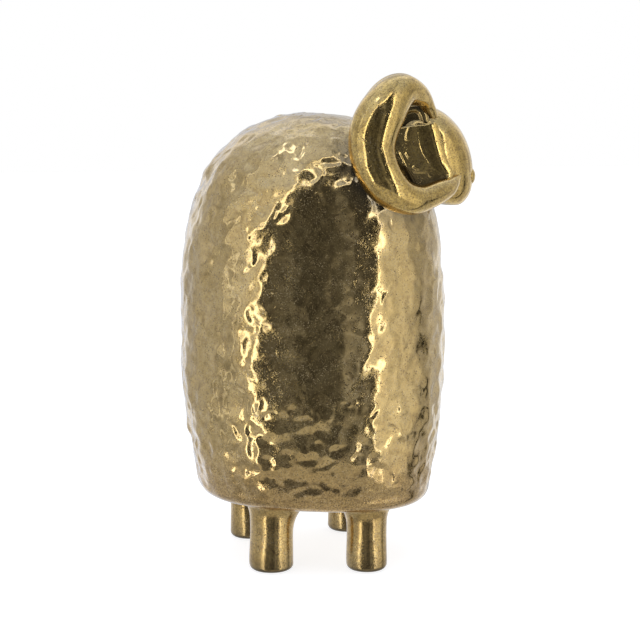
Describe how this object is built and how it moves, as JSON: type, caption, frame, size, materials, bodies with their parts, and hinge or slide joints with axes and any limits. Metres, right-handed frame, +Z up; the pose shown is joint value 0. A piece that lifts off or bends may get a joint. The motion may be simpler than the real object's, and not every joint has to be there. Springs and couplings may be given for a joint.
{
  "type": "sheep ornament",
  "caption": "Free-standing hollow ceramic sheep ornament with a tall hammered body, peg legs, coiled horns and a smooth head, in metallic gold glaze.",
  "frame": {"origin": "centre of the whole ornament's box, on the ground between the feet", "axes": "+X the way the body and legs face, +Y the animal's left, +Z up"},
  "size_m": [0.1396, 0.1222, 0.2335],
  "materials": {
    "hammered_glaze": "metallic gold lustre glaze over hammered clay, glossy with fine pinholes",
    "smooth_glaze": "metallic gold lustre glaze on smooth clay, glossy with fine pinholes"
  },
  "bodies": {
    "root": {"body_shell": "hammered_glaze", "leg_front_right": "smooth_glaze", "leg_front_left": "smooth_glaze", "leg_rear_right": "smooth_glaze", "leg_rear_left": "smooth_glaze", "head": "smooth_glaze", "ear_right": "smooth_glaze", "ear_left": "smooth_glaze", "horn_right": "smooth_glaze", "horn_left": "smooth_glaze", "nose": "smooth_glaze"}
  },
  "joints": []
}
